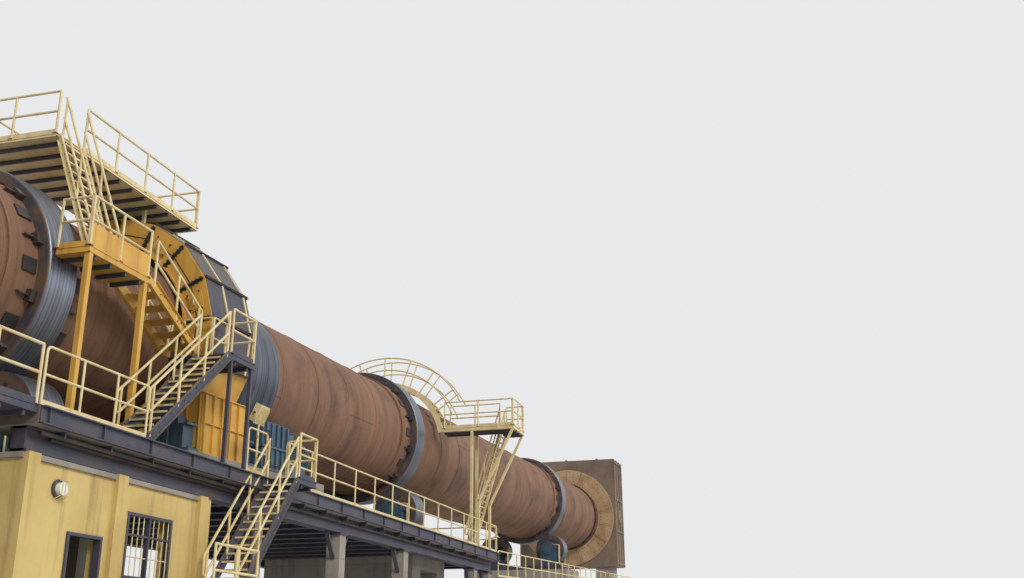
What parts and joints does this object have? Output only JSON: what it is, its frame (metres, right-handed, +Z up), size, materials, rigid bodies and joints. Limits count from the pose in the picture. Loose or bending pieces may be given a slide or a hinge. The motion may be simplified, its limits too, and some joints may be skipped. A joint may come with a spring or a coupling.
{
  "type": "rotary kiln, 1:2 scale model",
  "caption": "Inclined rotary kiln on roller stations with girth gear drive, guard, hood, seals, operating deck, stairs and walkways.",
  "frame": {"origin": "on the ground, at the base of the middle pier, under the kiln axis", "axes": "+X along the kiln from the outlet to the inlet, level; +Z up; -Y is the side with the stairs and the drive"},
  "size_m": [35.797, 5.6, 6.9855],
  "materials": {
    "shell_steel": "weathered rusty plate",
    "tyre_steel": "rolled smooth by the rollers",
    "cast_steel": "dusty and greasy",
    "ochre_paint": "dusty ochre paint",
    "cream_paint": "cream yellow paint",
    "dark_steel": "dark worn paint",
    "machine_paint": "blue grey machine paint",
    "concrete": "stained concrete",
    "wall_plaster": "yellowed plaster",
    "hood_plate": "dusty heated plate",
    "seal_plate": "beige dusty plate"
  },
  "bodies": {
    "plant": {"pier_1": "concrete", "pier_2": "concrete", "pier_3": "concrete", "hood_pier": "concrete", "inlet_pier": "concrete", "bedplates": "dark_steel", "roller_bearings": "machine_paint", "gear_guard": "ochre_paint", "guard_ribs": "cast_steel", "pinion_guard": "ochre_paint", "guard_stools": "dark_steel", "drive_plinth": "concrete", "pinion_bearings": "machine_paint", "gearbox": "machine_paint", "drive_motor": "machine_paint", "deck_slab": "concrete", "deck_beams": "dark_steel", "deck_joists": "dark_steel", "deck_columns": "concrete", "base_wall": "wall_plaster", "railing_near": "cream_paint", "railing_far": "cream_paint", "railing_ends": "cream_paint", "hood_walkway": "dark_steel", "lower_landing": "ochre_paint", "lower_stair": "dark_steel", "middle_stair": "dark_steel", "stair_landing": "dark_steel", "upper_stair": "ochre_paint", "upper_platform": "ochre_paint", "crown_ladder": "cream_paint", "crown_platform": "cream_paint", "crossover": "cream_paint", "crossover_ladder": "cream_paint", "gallery": "dark_steel", "gallery_posts": "dark_steel", "gallery_railing": "cream_paint", "lamp_stand": "cream_paint", "kiln_hood": "hood_plate", "outlet_seal": "seal_plate", "inlet_chamber": "hood_plate", "inlet_seal": "seal_plate"},
    "kiln": {"shell_outlet_length": "shell_steel", "shell_middle_length": "shell_steel", "shell_inlet_length": "shell_steel", "tyre_outlet_end": "tyre_steel", "tyre_middle": "tyre_steel", "tyre_inlet_end": "tyre_steel", "tyre_stop_blocks": "cast_steel", "girth_gear": "cast_steel", "gear_spring_plates": "cast_steel", "shell_end_rings": "cast_steel"},
    "pinion_set": {"pinion": "cast_steel", "pinion_shaft": "tyre_steel"},
    "roller_1_near": {"roller_1_near": "tyre_steel"},
    "roller_1_far": {"roller_1_far": "tyre_steel"},
    "roller_2_near": {"roller_2_near": "tyre_steel"},
    "roller_2_far": {"roller_2_far": "tyre_steel"},
    "roller_3_near": {"roller_3_near": "tyre_steel"},
    "roller_3_far": {"roller_3_far": "tyre_steel"}
  },
  "joints": [
    {"name": "kiln_spin", "type": "hinge", "parent": "plant", "child": "kiln", "pos_m": [0, 0, 4.28], "axis": [0.9994, 0, 0.0349], "continuous": true},
    {"name": "pinion_spin", "type": "hinge", "parent": "plant", "child": "pinion_set", "pos_m": [-7.82823, -1.20279, 2.80311], "axis": [0.9994, 0, 0.0349], "continuous": true},
    {"name": "roller_1_near_spin", "type": "hinge", "parent": "plant", "child": "roller_1_near", "pos_m": [-10.74218, -0.84765, 2.43581], "axis": [0.9994, 0, 0.0349], "continuous": true},
    {"name": "roller_1_far_spin", "type": "hinge", "parent": "plant", "child": "roller_1_far", "pos_m": [-10.74218, 0.84765, 2.43581], "axis": [0.9994, 0, 0.0349], "continuous": true},
    {"name": "roller_2_near_spin", "type": "hinge", "parent": "plant", "child": "roller_2_near", "pos_m": [0.05124, -0.84765, 2.81272], "axis": [0.9994, 0, 0.0349], "continuous": true},
    {"name": "roller_2_far_spin", "type": "hinge", "parent": "plant", "child": "roller_2_far", "pos_m": [0.05124, 0.84765, 2.81272], "axis": [0.9994, 0, 0.0349], "continuous": true},
    {"name": "roller_3_near_spin", "type": "hinge", "parent": "plant", "child": "roller_3_near", "pos_m": [12.64356, -0.84765, 3.25245], "axis": [0.9994, 0, 0.0349], "continuous": true},
    {"name": "roller_3_far_spin", "type": "hinge", "parent": "plant", "child": "roller_3_far", "pos_m": [12.64356, 0.84765, 3.25245], "axis": [0.9994, 0, 0.0349], "continuous": true}
  ],
  "couplings": [
    {"joint": "pinion_spin", "follows": "kiln_spin", "ratio": -6},
    {"joint": "roller_1_near_spin", "follows": "kiln_spin", "ratio": -2.9882},
    {"joint": "roller_1_far_spin", "follows": "kiln_spin", "ratio": -2.9882},
    {"joint": "roller_2_near_spin", "follows": "kiln_spin", "ratio": -2.9882},
    {"joint": "roller_2_far_spin", "follows": "kiln_spin", "ratio": -2.9882},
    {"joint": "roller_3_near_spin", "follows": "kiln_spin", "ratio": -2.9882},
    {"joint": "roller_3_far_spin", "follows": "kiln_spin", "ratio": -2.9882}
  ]
}
